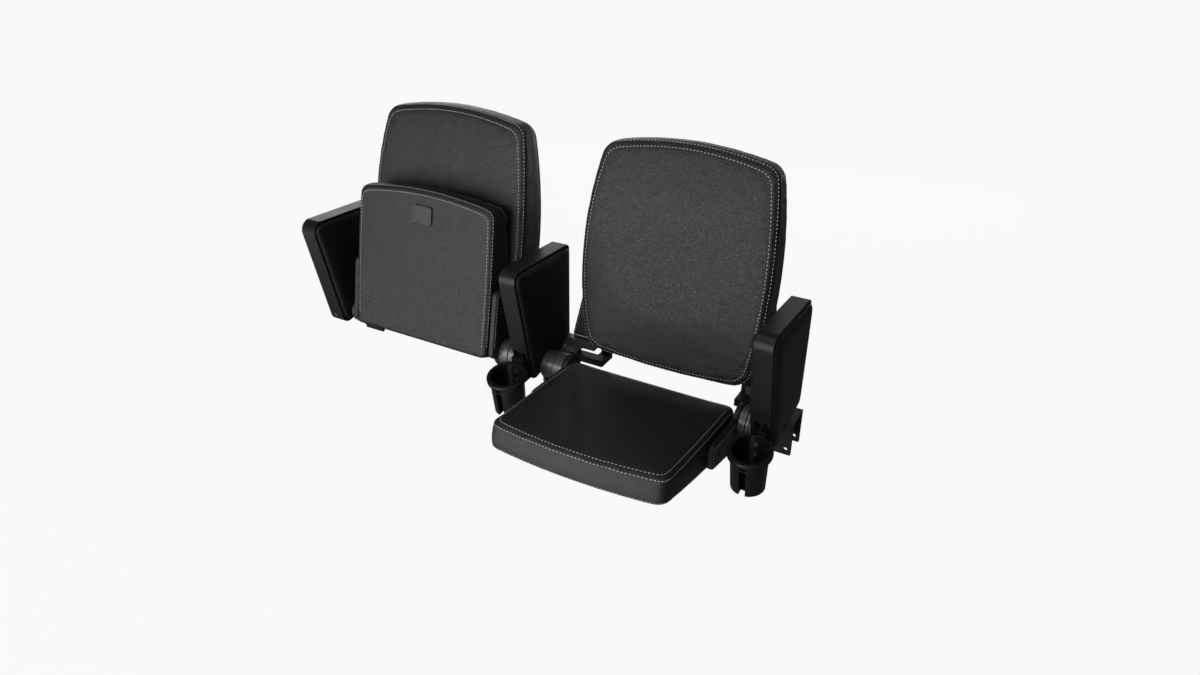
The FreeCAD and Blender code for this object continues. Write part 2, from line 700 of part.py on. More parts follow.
def number_plate(centre):
    slope = SEAT_BOTTOM_RISE / (SEAT_LENGTH + SEAT_FRONT_LEAN)
    middle = SEAT_LENGTH + SEAT_FRONT_LEAN + SEAT_FRONT_BOW - NUMBER_PLATE_FROM_FRONT
    reach = NUMBER_PLATE_HEIGHT / 2
    half = NUMBER_PLATE_WIDTH / 2
    thick = NUMBER_PLATE_THICKNESS
    plate = sloped_box(centre, middle - reach, middle + reach, half, seat_bottom(0), thick, slope)
    edges = [e for e in plate.Edges if abs(e.Length - thick) < STRAIGHT]
    return plate.makeFillet(NUMBER_PLATE_RADIUS, edges)


# Back

BACK_FORM = {
    "low": 0.0,
    "high": BACK_HEIGHT,
    "low_half": BACK_BOTTOM_HALF,
    "mid_half": BACK_MIDDLE_HALF,
    "high_half": BACK_TOP_HALF,
    "low_bow": BACK_SAG,
    "high_bow": BACK_ARCH,
    "low_radius": BACK_BOTTOM_RADIUS,
    "high_radius": BACK_TOP_RADIUS,
}


def back_point(x, up, forward):
    return V(x, BACK_Y, BACK_Z) + BACK_UP * up + BACK_NORMAL * forward


def level(up):
    """A flat board has no bow at any height."""
    return 0.0


def back_bow(up):
    """How far the padding's edge stands forward of the back's plane at a height."""
    from_full = (up - BACK_FULL_UP) / (BACK_HEIGHT - BACK_FULL_UP)
    scoop = max(0.0, 1 - up / BACK_SCOOP_HEIGHT)
    return BACK_BOW * (1 - from_full ** 2) + BACK_SCOOP * scoop ** 2


def back_middle(up):
    """The same at the flat middle of the face, on the line between its lower and upper ends."""
    low = BACK_EDGE + BACK_CROWN_REACH
    high = BACK_HEIGHT - low
    share = (up - low) / (high - low)
    return back_bow(low) * (1 - share) + back_bow(high) * share


def back_wire(centre, inset, forward, bow=level):
    """Outline of the back at a distance forward of its plane, and of the bow at each height."""
    def place(x, up):
        return back_point(centre + x, up, forward + bow(up))
    return soft_wire(soft_outline(BACK_FORM, inset), place)


def back_panel(centre, inset, rear, front):
    return Part.Face(back_wire(centre, inset, rear)).extrude(BACK_NORMAL * (front - rear))


def upright(centre, side, clearance, bottom, top):
    """Flat bar that stands in the back's pocket, grown by a clearance."""
    wide = UPRIGHT_WIDTH + 2 * clearance
    thick = UPRIGHT_THICKNESS + 2 * clearance
    block = Part.makeBox(wide, thick, top - bottom, V(-wide / 2, 0, bottom))
    block.rotate(V(0, 0, 0), X_AXIS, -BACK_RECLINE)
    x = centre + side * (UPRIGHT_EDGE - UPRIGHT_WIDTH / 2)
    block.translate(back_point(x, 0, UPRIGHT_FRONT + clearance))
    return block


def back_cushion(centre):
    """Upholstered back, bowed and crowned in front and hollow behind for its board."""
    wires = []
    for inset, rise in reversed(rolled_edge(BACK_REAR_EDGE)):
        wires.append(back_wire(centre, inset, CUSHION_REAR + BACK_REAR_EDGE - rise))
    face = crowned_face(BACK_EDGE, BACK_CROWN_REACH, BACK_CROWN)
    for inset, rise in face[:-1]:
        wires.append(back_wire(centre, inset, rise - BACK_EDGE, back_bow))
    inset, rise = face[-1]
    wires.append(back_wire(centre, inset, rise - BACK_EDGE, back_middle))
    body = soft_solid(wires)
    pocket = back_panel(centre, BACK_BOARD_INSET - SOFT_GAP, CUSHION_REAR, BOARD_FRONT + SOFT_GAP)
    body = body.cut(pocket)
    for side in (-1, 1):
        body = body.cut(upright(centre, side, SOFT_GAP, -BACK_BOTTOM_RADIUS, UPRIGHT_TOP + SOFT_GAP))
    return body


def back_board(centre):
    return back_panel(centre, BACK_BOARD_INSET, UPRIGHT_FRONT, BOARD_FRONT)


def shell_screws(centre):
    places = []
    for side in (-1, 1):
        for up in SHELL_SCREWS_UP:
            x = centre + side * (UPRIGHT_EDGE - UPRIGHT_WIDTH / 2)
            places.append(back_point(x, up, -BACK_THICKNESS))
    return places


def back_shell(centre):
    """Moulded cover over the rear of the back."""
    panel = back_panel(centre, BACK_SHELL_INSET, -BACK_THICKNESS, BACK_SHELL - BACK_THICKNESS)
    plane = back_point(centre, 0, -BACK_THICKNESS)

    def on_rear(edge):
        return all(abs((v.Point - plane).dot(BACK_NORMAL)) < STRAIGHT for v in edge.Vertexes)

    panel = panel.makeFillet(BACK_SHELL_EDGE, [edge for edge in panel.Edges if on_rear(edge)])
    for point in shell_screws(centre):
        panel = panel.cut(screw_hole(point, BACK_NORMAL, SHELL_SCREW_LENGTH))
    return panel


def back_carrier(centre, side, arm_x):
    """Bar from the standard's foot to the back's corner, with the upright that carries the back."""
    edge = centre + side * (UPRIGHT_EDGE - UPRIGHT_WIDTH)
    plate = arm_x - side * PLATE_HALF
    top = CARRIER_BOTTOM + CARRIER_HEIGHT
    rear = CARRIER_DEPTH - CARRIER_FRONT
    bar = box(min(edge, plate), max(edge, plate), -CARRIER_FRONT, rear, CARRIER_BOTTOM, top)
    outer = centre + side * UPRIGHT_EDGE
    base = back_point(centre, 0, CUSHION_REAR + FIT).y
    shelf = box(min(edge, outer), max(edge, outer), -CARRIER_FRONT, base, CARRIER_BOTTOM, top)
    drop = (BACK_Z - CARRIER_BOTTOM - CARRIER_HEIGHT / 2) / LEAN_COS
    post = upright(centre, side, 0, -drop + (base - BACK_Y) * LEAN_SIN, UPRIGHT_TOP)
    body = bar.fuse([shelf, post]).removeSplitter()
    for point in shell_screws(centre):
        body = body.cut(screw_hole(point, BACK_NORMAL, SHELL_SCREW_LENGTH))
    return body


def back_horn(centre, side, arm_x):
    """Curved bracket that rises from the carrier bar beside the arm and reaches under the wing."""
    root = arm_x - side * (ARM_HALF + HORN_OFF_ARM)
    tip = centre + side * (BACK_BOTTOM_HALF - HORN_UNDER_BACK)
    base = CARRIER_BOTTOM + CARRIER_HEIGHT
    knee = root - side * HORN_ROOT
    front = -CARRIER_FRONT + (CARRIER_DEPTH - HORN_DEPTH) / 2
    under = HORN_TOP - HORN_TIP
    rise = under - base
    points = [V(root, front, base), V(root, front, HORN_TOP)]
    points += [V(tip, front, HORN_TOP), V(tip, front, under)]
    bend = V(knee - side * rise * CORNER_PULL / 2, front, under - rise * CORNER_PULL)
    end = V(knee - side * rise, front, under)
    edges = [Part.makeLine(points[i], points[i + 1]) for i in range(3)]
    edges += [Part.makeLine(points[3], end), arc(end, bend, V(knee, front, base))]
    edges.append(Part.makeLine(V(knee, front, base), points[0]))
    return Part.Face(Part.Wire(edges)).extrude(V(0, HORN_DEPTH, 0))


def back_wing(centre, side, arm_x):
    """Upholstered gusset at the back's lower side, resting on the horn."""
    reach = abs(arm_x - centre) - ARM_HALF - WING_OFF_ARM
    low = (HORN_TOP - BACK_Z) / LEAN_COS - WING_THICKNESS
    inner = UPRIGHT_EDGE + SOFT_GAP
    corners = [(inner, low), (reach, low), (reach, 0), (BACK_MIDDLE_HALF, WING_TOP), (inner, WING_TOP)]
    flat = WING_THICKNESS / 2 - WING_EDGE
    rear = [(inset, -flat - rise) for inset, rise in reversed(rolled_edge(WING_EDGE))]
    front = [(inset, flat + rise) for inset, rise in rolled_edge(WING_EDGE)]
    wires = []
    for inset, forward in rear + front:
        def place(p, depth=forward - WING_DEPTH):
            return back_point(centre + side * p.x, p.y, depth)
        radii = [WING_RADIUS] * len(corners)
        wires.append(rounded_wire(inset_corners(corners, inset), radii, place))
    body = soft_solid(wires)
    body = body.cut(back_panel(centre, -SOFT_GAP, -BACK_THICKNESS, 0))
    wide = abs(arm_x - centre)
    return body.cut(box(centre - wide, centre + wide, -ARM_FRONT, ARM_FRONT, -HORN_TOP, HORN_TOP + SOFT_GAP))


# Cup holders

def cup_placed(shape, arm_x, tilt):
    shape.rotate(V(0, 0, 0), X_AXIS, tilt)
    shape.translate(V(arm_x, CUP_Y, CUP_Z))
    return shape


def cup_radius(down):
    """Outer radius of the cup's wall at a depth below its rim's centre."""
    return CUP_TOP_RADIUS - (CUP_TOP_RADIUS - CUP_BOTTOM_RADIUS) * down / CUP_DEPTH


def cup_cone(inside, bottom, above):
    low = cup_radius(bottom) - inside
    high = cup_radius(-above) - inside
    return Part.makeCone(low, high, bottom + above, V(0, 0, -bottom))


def cup(arm_x):
    """Tapered cup with a slot down its front wall and a rolled rim that dips to the front."""
    above = CUP_RIM_RADIUS / 2
    wall = cup_cone(0, CUP_DEPTH, above).cut(cup_cone(CUP_WALL, CUP_DEPTH - CUP_WALL, above))
    half = CUP_SLOT / 2
    front = cup_radius(0)
    wall = wall.cut(box(-half, half, -front, -front / 2, -CUP_DEPTH, -CUP_SLOT_TOP))
    deep = cup_radius(CUP_TAB_DOWN)
    low = -CUP_TAB_DOWN - CUP_TAB
    wall = wall.fuse(box(-half, half, -deep, CUP_WALL - deep, low, -CUP_TAB_DOWN))
    wall = cup_placed(wall, arm_x, CUP_TILT)
    wide = 2 * CUP_RIM_RADIUS
    wall = wall.cut(cup_placed(box(-wide, wide, -wide, wide, 0, wide), arm_x, CUP_RIM_TILT))
    under = V(0, 0, -CUP_RIM_HEIGHT)
    ring = Part.makeCylinder(CUP_RIM_RADIUS, CUP_RIM_HEIGHT, under)
    ring = ring.cut(Part.makeCylinder(CUP_TOP_RADIUS - CUP_WALL / 2, CUP_RIM_HEIGHT, under))
    ring = ring.makeFillet(CUP_RIM_ROUND, [e for e in ring.Edges if e.Length > CUP_RIM_RADIUS])
    body = wall.fuse(cup_placed(ring, arm_x, CUP_RIM_TILT)).removeSplitter()
    for point, inward in cup_screws(arm_x):
        body = body.cut(screw_hole(point, inward, CUP_SCREW_LENGTH))
    return body


def cup_screws(arm_x):
    """Places and direction of the screws through the cup's rear wall."""
    tilt = math.radians(CUP_TILT)
    inward = V(0, math.cos(tilt), math.sin(tilt))
    down = V(0, math.sin(tilt), -math.cos(tilt))
    centre = V(arm_x, CUP_Y, CUP_Z)
    taper = (CUP_TOP_RADIUS - CUP_BOTTOM_RADIUS) / CUP_DEPTH * SCREW_HEAD_RADIUS
    places = []
    for depth in CUP_SCREWS_DOWN:
        inside = cup_radius(depth) - CUP_WALL
        reach = math.sqrt(inside ** 2 - SCREW_HEAD_RADIUS ** 2) - taper
        places.append((centre + down * depth + inward * reach, inward))
    return places


def cup_bracket(arm_x):
    """Block from the standard's front edge, through the rim's window, to the cup's rear wall."""
    half = BRACKET_WIDTH / 2
    block = box(arm_x - half, arm_x + half, CUP_Y, BRACKET_REAR, BRACKET_BOTTOM, BRACKET_TOP)
    block = block.cut(arm_block(arm_x - half, arm_x + half, RIM_WALL + FIT))
    block = block.cut(cup_placed(cup_cone(-FIT, CUP_DEPTH, CUP_RIM_RADIUS), arm_x, CUP_TILT))
    low = -CUP_RIM_HEIGHT - FIT
    ring = Part.makeCylinder(CUP_RIM_RADIUS + FIT, CUP_RIM_RADIUS - low, V(0, 0, low))
    block = block.cut(cup_placed(ring, arm_x, CUP_RIM_TILT))
    for point, inward in cup_screws(arm_x):
        block = block.cut(screw_hole(point, inward, CUP_SCREW_LENGTH))
    return block


# The whole row, one named piece at a time

pieces = {}
screws = {"rim_screws": [], "cup_screws": [], "shell_screws": []}

for name, place in ARMS.items():
    x = place * ARM_PITCH
    with_cup = name in CUP_ARMS
    pieces[f"arm_standard_{name}"] = arm_standard(x, with_cup)
    pieces[f"arm_rim_{name}"] = arm_rim(x, with_cup)
    pieces[f"arm_pads_{name}"] = Part.makeCompound([arm_pad(x, side) for side in (-1, 1)])
    pieces[f"beam_saddle_{name}"] = beam_saddle(x)
    pieces[f"pivot_shaft_{name}"] = pivot_shaft(name)
    for point, inward in rim_screws(x, with_cup):
        screws["rim_screws"].append(screw(point, inward, RIM_SCREW_LENGTH))
    if with_cup:
        pieces[f"cup_{name}"] = cup(x)
        pieces[f"cup_bracket_{name}"] = cup_bracket(x)
        for point, inward in cup_screws(x):
            screws["cup_screws"].append(screw(point, inward, CUP_SCREW_LENGTH))

for name, sign in CHAIRS.items():
    centre = sign * CHAIR_PITCH / 2
    sides = {"inner": -sign, "outer": sign}
    arm_places = {side: ARMS[arm_of(sign, side)] * ARM_PITCH for side in sides.values()}

    pieces[f"back_cushion_{name}"] = back_cushion(centre)
    pieces[f"back_board_{name}"] = back_board(centre)
    pieces[f"back_shell_{name}"] = back_shell(centre)
    for point in shell_screws(centre):
        screws["shell_screws"].append(screw(point, BACK_NORMAL, SHELL_SCREW_LENGTH))
    for word, side in sides.items():
        pieces[f"back_carrier_{name}_{word}"] = back_carrier(centre, side, arm_places[side])
    collars = [hub_collar(centre, side, arm_places[side]) for side in sides.values()]
    pieces[f"hub_collars_{name}"] = Part.makeCompound(collars)
    horns = [back_horn(centre, side, arm_places[side]) for side in sides.values()]
    pieces[f"back_horns_{name}"] = Part.makeCompound(horns)
    wings = [back_wing(centre, side, arm_places[side]) for side in sides.values()]
    pieces[f"back_wings_{name}"] = Part.makeCompound(wings)

    seat = {
        "seat_cushion": seat_cushion(centre),
        "seat_base": seat_base(centre),
        "seat_pan": seat_pan(centre),
        "number_plate": number_plate(centre),
    }
    for word, side in sides.items():
        seat[f"hinge_plate_{word}"] = hinge_plate(centre, side)
        cover = hinge_cover(0, side)
        cover.translate(V(centre, 0, 0))
        seat[f"hinge_cover_{word}"] = cover
    seat["hinge_bushes"] = Part.makeCompound([hinge_bush(centre, side) for side in sides.values()])
    seat["turn_rings"] = Part.makeCompound([turn_ring(centre, side) for side in sides.values()])
    pin_end = COLLAR_IN + STOP_SLOT_DEPTH - STOP_PIN_SHORT
    pins = [stop_pin(centre, side, STOP_PIN_RADIUS, PLATE_IN + FIT, pin_end) for side in sides.values()]
    seat["stop_pins"] = Part.makeCompound(pins)
    for word, shape in seat.items():
        if name == "left":
            shape.rotate(V(centre, HINGE_Y, HINGE_Z), X_AXIS, -TIP_UP)
        pieces[f"{word}_{name}"] = shape

for name, group in screws.items():
    pieces[name] = Part.makeCompound(group)

os.makedirs("parts", exist_ok=True)
for name, shape in pieces.items():
    shape.exportStep(f"parts/{name}.step")
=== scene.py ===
# %% [markdown]
# # Two tip-up stadium chairs
# The frame is the measured model: arms, hubs, seats and backs in one row frame, in metres.
# Hard pieces keep their measured shape and only get a finish. Soft pieces are made again over it,
# because foam and hide need rolled edges, seams and thread.

# %% Frame
import json
import math
import bpy
import numpy as np
from mathutils import Matrix, Vector
from mathutils.bvhtree import BVHTree
from mathutils.kdtree import KDTree


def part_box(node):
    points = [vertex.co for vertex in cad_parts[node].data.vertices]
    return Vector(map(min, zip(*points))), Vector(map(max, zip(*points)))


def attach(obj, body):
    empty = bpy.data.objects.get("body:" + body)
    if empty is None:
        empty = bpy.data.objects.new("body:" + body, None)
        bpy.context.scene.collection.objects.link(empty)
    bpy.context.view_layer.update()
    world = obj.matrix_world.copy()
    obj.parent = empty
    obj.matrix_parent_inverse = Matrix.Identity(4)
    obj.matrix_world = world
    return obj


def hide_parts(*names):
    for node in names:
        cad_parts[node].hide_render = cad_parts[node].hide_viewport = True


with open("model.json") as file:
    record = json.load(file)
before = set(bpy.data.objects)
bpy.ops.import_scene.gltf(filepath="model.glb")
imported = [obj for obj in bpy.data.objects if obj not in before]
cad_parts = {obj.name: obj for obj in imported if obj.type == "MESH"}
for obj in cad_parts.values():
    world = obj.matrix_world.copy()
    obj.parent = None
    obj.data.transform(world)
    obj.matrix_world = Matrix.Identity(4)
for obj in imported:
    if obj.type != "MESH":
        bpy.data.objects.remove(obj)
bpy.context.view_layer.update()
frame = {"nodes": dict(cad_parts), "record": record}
nodes = frame["nodes"]
print("measured pieces:", len(nodes))

# %% [markdown]
# ## Camera
# The camera stands to the right of the row, a little above the backs, and looks down over the right
# chair. Its place and lens were worked out from where the arms' corners fall in the picture.

# %% Camera
CAMERA_PLACE = (1.026, -1.6325, 1.119)
CAMERA_TURN = (60.75, 0.0, 29.16)
camera_data = bpy.data.cameras.new("row_camera")
camera_data.sensor_width = 36.0
camera_data.lens = 26.75
camera = bpy.data.objects.new("row_camera", camera_data)
camera.location = CAMERA_PLACE
camera.rotation_euler = [math.radians(angle) for angle in CAMERA_TURN]
bpy.context.scene.collection.objects.link(camera)
bpy.context.scene.camera = camera
print("lens:", camera_data.lens)

# %% [markdown]
# ## Light and floor
# The pictured chairs are black and stand on white, so most of what shows is sheen: fronts mirror the
# bright floor ahead of them, while tops and right sides mirror dark things and stay nearly black. One
# broad soft light stands in front. Two lie on the floor ahead and shine up as a lit floor would, the
# far one stronger, because the leaning backs mirror that part. A weak light above and three behind
# bring out the arms' tops and the rear shells.

# %% Light and floor
AIM = Vector((0.05, -0.1, 0.2))
FLOOR_Z = -0.42
FLOOR_SIZE = 60.0
BOUNCE_X = -0.7
BOUNCE_Z = FLOOR_Z + 0.02
BOUNCE_WIDTH = 3.4
CEILING_Z = 9.0
OFF_PLUMB = 0.001


def soft_light(name, place, aim, size, watts):
    """Rectangular area light turned towards a point, unseen by the camera."""
    data = bpy.data.lights.new(name, "AREA")
    data.shape = "RECTANGLE"
    data.size = size[0]
    data.size_y = size[1]
    data.energy = watts
    light = bpy.data.objects.new(name, data)
    light.location = place
    light.rotation_euler = (aim - Vector(place)).to_track_quat("-Z", "Y").to_euler()
    light.visible_camera = False
    bpy.context.scene.collection.objects.link(light)
    return light


def floor_light(name, y, depth, watts):
    """Light that lies on the floor and shines up."""
    above = Vector((BOUNCE_X, y + OFF_PLUMB, CEILING_Z))
    return soft_light(name, (BOUNCE_X, y, BOUNCE_Z), above, (BOUNCE_WIDTH, depth), watts)


lights = [
    soft_light("front_light", (-1.0, -3.2, 0.7), AIM, (2.6, 2.0), 74.0),
    floor_light("near_bounce", -1.25, 1.1, 9.0),
    floor_light("far_bounce", -3.45, 3.3, 100.0),
    soft_light("top_light", (0.2, -0.9, 2.4), AIM, (1.5, 1.5), 8.0),
    soft_light("rear_light", (-2.6, 2.6, 1.5), AIM, (1.8, 1.8), 20.0),
    soft_light("rear_wide", (-0.7, 2.6, 1.75), AIM, (2.2, 1.2), 4.0),
    soft_light("rear_fill", (-0.4, 3.0, 0.1), AIM, (2.4, 0.8), 16.0),
]
bpy.ops.mesh.primitive_plane_add(size=FLOOR_SIZE, location=(0.0, 0.0, FLOOR_Z))
floor = bpy.context.object
floor.name = "floor"
bpy.ops.object.transform_apply(location=True, rotation=False, scale=False)
print("lights:", len(lights))

# %% [markdown]
# ## Floor and surroundings
# The floor is white to the camera and keeps a small part of its own shading. To the chairs it is a
# dark grey, so that the sides which mirror it stay dark. The room is white to the camera as well and
# dim to the chairs.

# %% Floor and surroundings
WHITE = (1.0, 1.0, 1.0, 1.0)
FLOOR_GREY = (0.18, 0.18, 0.18, 1.0)
FLOOR_ROUGHNESS = 0.9
FLOOR_GLOW = 0.94
ROOM_STRENGTH = 0.12
floor_paint = bpy.data.materials.new("floor_paint")
floor_paint.use_nodes = True
tree = floor_paint.node_tree
shade = tree.nodes["Principled BSDF"]
shade.inputs["Base Color"].default_value = FLOOR_GREY
shade.inputs["Roughness"].default_value = FLOOR_ROUGHNESS
glow = tree.nodes.new("ShaderNodeEmission")
glow.inputs["Color"].default_value = WHITE
path = tree.nodes.new("ShaderNodeLightPath")
share = tree.nodes.new("ShaderNodeMath")
share.operation = "MULTIPLY"
share.inputs[1].default_value = FLOOR_GLOW
mixed = tree.nodes.new("ShaderNodeMixShader")
tree.links.new(path.outputs["Is Camera Ray"], share.inputs[0])
tree.links.new(share.outputs[0], mixed.inputs["Fac"])
tree.links.new(shade.outputs[0], mixed.inputs[1])
tree.links.new(glow.outputs[0], mixed.inputs[2])
tree.links.new(mixed.outputs[0], tree.nodes["Material Output"].inputs["Surface"])
floor.data.materials.append(floor_paint)

world = bpy.data.worlds.new("white_room")
world.use_nodes = True
tree = world.node_tree
room = tree.nodes["Background"]
room.inputs["Color"].default_value = WHITE
room.inputs["Strength"].default_value = ROOM_STRENGTH
white = tree.nodes.new("ShaderNodeBackground")
white.inputs["Color"].default_value = WHITE
path = tree.nodes.new("ShaderNodeLightPath")
mixed = tree.nodes.new("ShaderNodeMixShader")
tree.links.new(path.outputs["Is Camera Ray"], mixed.inputs["Fac"])
tree.links.new(room.outputs[0], mixed.inputs[1])
tree.links.new(white.outputs[0], mixed.inputs[2])
tree.links.new(mixed.outputs[0], tree.nodes["World Output"].inputs["Surface"])
bpy.context.scene.world = world
bpy.context.scene.view_settings.view_transform = "Standard"
print("floor at", FLOOR_Z)

# %% [markdown]
# ## Grain and mottle
# Two effects serve every finish. Hide has pebbles with thin valleys between them and longer creases;
# moulded plastic, powder coat and cast metal have a fine even texture and slow changes of sheen.
# Each is a node group that puts out a height for the bump and a slow shade for colour and roughness.

# %% Grain and mottle groups
VALLEY_WIDTH = 0.22
CREASE_WEIGHT = 5.0
SLOW_SCALE = 7.0


def add_socket(group, name, way, value=0.0):
    socket = group.interface.new_socket(name=name, in_out=way, socket_type="NodeSocketFloat")
    if way == "INPUT":
        socket.default_value = value


def noise_in(group, scale, detail):
    """Noise on the piece's own coordinates, its scale a number or a socket."""
    noise = group.nodes.new("ShaderNodeTexNoise")
    noise.inputs["Detail"].default_value = detail
    place = group.nodes.new("ShaderNodeTexCoord")
    group.links.new(place.outputs["Object"], noise.inputs["Vector"])
    if isinstance(scale, float):
        noise.inputs["Scale"].default_value = scale
    else:
        group.links.new(scale, noise.inputs["Scale"])
    return noise.outputs["Fac"]


def hide_group():
    group = bpy.data.node_groups.new("hide_grain", "ShaderNodeTree")
    add_socket(group, "Pebbles", "INPUT", value=420.0)
    add_socket(group, "Creases", "INPUT", value=26.0)
    add_socket(group, "Height", "OUTPUT")
    add_socket(group, "Shade", "OUTPUT")
    given = group.nodes.new("NodeGroupInput")
    result = group.nodes.new("NodeGroupOutput")
    place = group.nodes.new("ShaderNodeTexCoord")
    pebbles = group.nodes.new("ShaderNodeTexVoronoi")
    pebbles.feature = "DISTANCE_TO_EDGE"
    group.links.new(place.outputs["Object"], pebbles.inputs["Vector"])
    group.links.new(given.outputs["Pebbles"], pebbles.inputs["Scale"])
    valleys = group.nodes.new("ShaderNodeMapRange")
    valleys.inputs["From Max"].default_value = VALLEY_WIDTH
    group.links.new(pebbles.outputs["Distance"], valleys.inputs["Value"])
    creases = noise_in(group, given.outputs["Creases"], 5.0)
    weight = group.nodes.new("ShaderNodeMath")
    weight.operation = "MULTIPLY_ADD"
    weight.inputs[1].default_value = CREASE_WEIGHT
    group.links.new(creases, weight.inputs[0])
    group.links.new(valleys.outputs["Result"], weight.inputs[2])
    group.links.new(weight.outputs[0], result.inputs["Height"])
    slow = noise_in(group, SLOW_SCALE, 4.0)
    group.links.new(slow, result.inputs["Shade"])
    return group


def mottle_group():
    group = bpy.data.node_groups.new("fine_mottle", "ShaderNodeTree")
    add_socket(group, "Texture", "INPUT", value=900.0)
    add_socket(group, "Patches", "INPUT", value=14.0)
    add_socket(group, "Height", "OUTPUT")
    add_socket(group, "Shade", "OUTPUT")
    given = group.nodes.new("NodeGroupInput")
    result = group.nodes.new("NodeGroupOutput")
    fine = noise_in(group, given.outputs["Texture"], 2.0)
    slow = noise_in(group, given.outputs["Patches"], 5.0)
    group.links.new(fine, result.inputs["Height"])
    group.links.new(slow, result.inputs["Shade"])
    return group


HIDE_GRAIN = hide_group()
FINE_MOTTLE = mottle_group()
print("groups:", HIDE_GRAIN.name, FINE_MOTTLE.name)

# %% [markdown]
# ## Finishes
# A finish is a pair of close colours and a pair of roughness values that the slow shade moves
# between, and a bump from the group's height. The hide is a charcoal that looks grey where the
# front light meets it; the arm pads are smoother and darker; bands and cups are satin black. A Mix
# node has sockets for numbers and for colours, so its colour sockets are picked by their place.

# %% Finishes
MIX_FIRST = 6
MIX_SECOND = 7
MIX_RESULT = 2


def finish(name, group, scales, colours, rough, bump, metallic=0.0, shine=0.5):
    """Material with colour and roughness that vary slowly and a fine bump."""
    material = bpy.data.materials.new(name)
    material.use_nodes = True
    tree = material.node_tree
    skin = tree.nodes["Principled BSDF"]
    skin.inputs["Metallic"].default_value = metallic
    skin.inputs["Specular IOR Level"].default_value = shine
    grain = tree.nodes.new("ShaderNodeGroup")
    grain.node_tree = group
    for socket, value in zip(grain.inputs, scales):
        socket.default_value = value
    tint = tree.nodes.new("ShaderNodeMix")
    tint.data_type = "RGBA"
    tint.inputs[MIX_FIRST].default_value = (*colours[0], 1.0)
    tint.inputs[MIX_SECOND].default_value = (*colours[1], 1.0)
    sheen = tree.nodes.new("ShaderNodeMapRange")
    sheen.inputs["To Min"].default_value = rough[0]
    sheen.inputs["To Max"].default_value = rough[1]
    relief = tree.nodes.new("ShaderNodeBump")
    relief.inputs["Strength"].default_value = bump[0]
    relief.inputs["Distance"].default_value = bump[1]
    tree.links.new(grain.outputs["Shade"], tint.inputs["Factor"])
    tree.links.new(grain.outputs["Shade"], sheen.inputs["Value"])
    tree.links.new(grain.outputs["Height"], relief.inputs["Height"])
    tree.links.new(tint.outputs[MIX_RESULT], skin.inputs["Base Color"])
    tree.links.new(sheen.outputs["Result"], skin.inputs["Roughness"])
    tree.links.new(relief.outputs["Normal"], skin.inputs["Normal"])
    return material


def grey(value, warmth=0.0):
    return (value * (1 + warmth), value, value * (1 - warmth))


FINISHES = {
    "upholstery": finish(
        "charcoal_hide", HIDE_GRAIN, (420.0, 26.0), (grey(0.011, 0.02), grey(0.015, 0.02)),
        (0.32, 0.43), (0.45, 0.0008)),
    "arm_padding": finish(
        "smooth_black_skin", HIDE_GRAIN, (900.0, 30.0), (grey(0.007), grey(0.009)),
        (0.36, 0.48), (0.12, 0.0003), shine=0.3),
    "rim_plastic": finish(
        "satin_black_band", FINE_MOTTLE, (1400.0, 16.0), (grey(0.009), grey(0.012)),
        (0.3, 0.42), (0.1, 0.0002), shine=0.25),
    "cup_plastic": finish(
        "moulded_cup_black", FINE_MOTTLE, (1200.0, 20.0), (grey(0.007), grey(0.009)),
        (0.22, 0.34), (0.1, 0.0002), shine=0.35),
    "number_plate": finish(
        "blank_plate", FINE_MOTTLE, (1000.0, 30.0), (grey(0.012), grey(0.015)),
        (0.38, 0.46), (0.1, 0.0002)),
    "frame_steel": finish(
        "black_powder_coat", FINE_MOTTLE, (700.0, 18.0), (grey(0.008), grey(0.011)),
        (0.42, 0.55), (0.25, 0.0003), shine=0.3),
    "hub_metal": finish(
        "grey_satin_ring", FINE_MOTTLE, (1100.0, 25.0), (grey(0.1, 0.04), grey(0.14, 0.04)),
        (0.34, 0.46), (0.12, 0.0002), 0.6),
    "bright_steel": finish(
        "bright_steel", FINE_MOTTLE, (1500.0, 40.0), (grey(0.55), grey(0.65)),
        (0.2, 0.32), (0.08, 0.0001), 1.0),
    "bush_nylon": finish(
        "plain_nylon", FINE_MOTTLE, (900.0, 30.0), (grey(0.62, 0.02), grey(0.68, 0.02)),
        (0.4, 0.5), (0.1, 0.0002)),
    "thread": finish(
        "beige_thread", FINE_MOTTLE, (2500.0, 60.0), (grey(0.42, 0.05), grey(0.52, 0.05)),
        (0.6, 0.75), (0.3, 0.0003)),
}
print("finishes:", len(FINISHES))

# %% [markdown]
# ## Plywood
# The boards inside seats and backs are plywood, seen only when a piece is taken off. Stretched noise
# gives the long grain: the same noise, squeezed across the board by a Mapping node.

# %% Plywood
PLY_SQUEEZE = (4.0, 60.0, 60.0)
PLY_DARK = (0.42, 0.29, 0.17, 1.0)
PLY_PALE = (0.62, 0.47, 0.31, 1.0)
PLY_ROUGHNESS = 0.65
plywood = bpy.data.materials.new("plywood")
plywood.use_nodes = True
tree = plywood.node_tree
place = tree.nodes.new("ShaderNodeTexCoord")
squeeze = tree.nodes.new("ShaderNodeMapping")
squeeze.inputs["Scale"].default_value = PLY_SQUEEZE
grain = tree.nodes.new("ShaderNodeTexNoise")
grain.inputs["Scale"].default_value = 2.0
grain.inputs["Detail"].default_value = 6.0
tint = tree.nodes.new("ShaderNodeMix")
tint.data_type = "RGBA"
tint.inputs[MIX_FIRST].default_value = PLY_DARK
tint.inputs[MIX_SECOND].default_value = PLY_PALE
tree.links.new(place.outputs["Object"], squeeze.inputs["Vector"])
tree.links.new(squeeze.outputs["Vector"], grain.inputs["Vector"])
tree.links.new(grain.outputs["Fac"], tint.inputs["Factor"])
skin = tree.nodes["Principled BSDF"]
